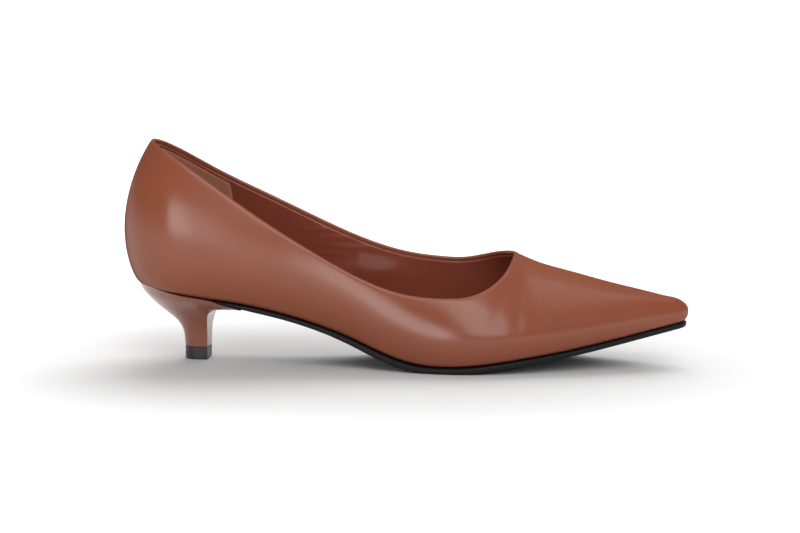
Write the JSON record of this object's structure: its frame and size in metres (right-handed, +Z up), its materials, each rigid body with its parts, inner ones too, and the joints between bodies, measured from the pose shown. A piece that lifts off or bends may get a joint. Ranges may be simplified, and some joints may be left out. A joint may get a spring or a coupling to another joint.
{
  "type": "pump shoe",
  "caption": "Women's pointed-toe pump for the right foot, with a low-cut smooth leather upper, a thin black outsole and a slender kitten heel with a black top piece.",
  "frame": {"origin": "on the floor, under the middle of the shoe's length and width", "axes": "+X from the heel towards the toe, +Y towards the inner side of the right foot, +Z up"},
  "size_m": [0.2552, 0.0782, 0.1],
  "materials": {
    "leather": "smooth semi-gloss cognac-brown calf",
    "sole_rubber": "satin black",
    "sock_leather": "smooth dark red-brown sock",
    "heel_lacquer": "glossy brown covering",
    "top_piece": "matt black"
  },
  "bodies": {
    "root": {"upper": "leather", "outsole": "sole_rubber", "insole": "sock_leather", "heel": "heel_lacquer", "heel_top_piece": "top_piece"}
  },
  "joints": []
}
